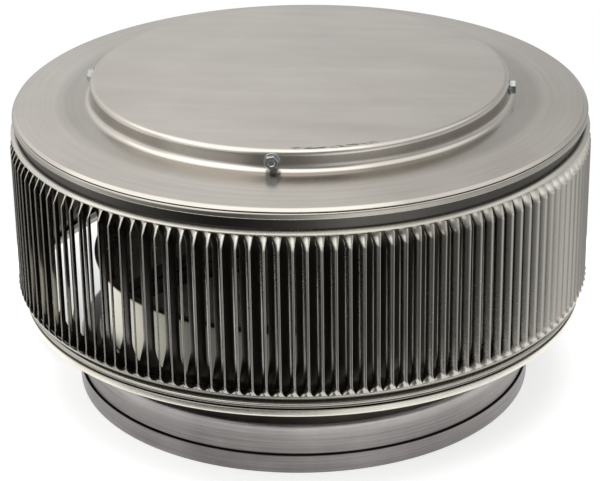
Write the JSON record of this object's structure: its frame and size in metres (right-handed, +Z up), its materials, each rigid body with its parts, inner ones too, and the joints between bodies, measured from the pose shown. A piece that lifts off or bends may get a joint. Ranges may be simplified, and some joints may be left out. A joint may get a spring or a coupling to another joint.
{
  "type": "static gravity roof ventilator head",
  "caption": "Round aluminium gravity roof ventilator head with a double row of upright louvres, a flat raised crown and a round collar for a 12 inch duct.",
  "frame": {"origin": "on the upright axis at the lower edge of the collar", "axes": "+Z up along the axis, -Y towards the front crown screw, +X to the right of it"},
  "size_m": [0.3844, 0.3844, 0.214],
  "materials": {
    "mill_aluminium": "satin",
    "brushed_collar": "brushed",
    "louvre_strip": "satin",
    "zinc_screw": "satin"
  },
  "bodies": {
    "root": {"top_cap": "mill_aluminium", "top_ring": "mill_aluminium", "outer_louvre_row": "louvre_strip", "inner_louvre_row": "louvre_strip", "base_ring": "mill_aluminium", "throat_tube": "mill_aluminium", "collar": "brushed_collar", "foot_band": "brushed_collar", "support_bar_front": "mill_aluminium", "support_bar_right": "mill_aluminium", "support_bar_rear": "mill_aluminium", "support_bar_left": "mill_aluminium", "crown_screws": "zinc_screw", "crown_nuts": "zinc_screw", "bar_rivets": "mill_aluminium", "neck_rivets": "mill_aluminium"}
  },
  "joints": []
}
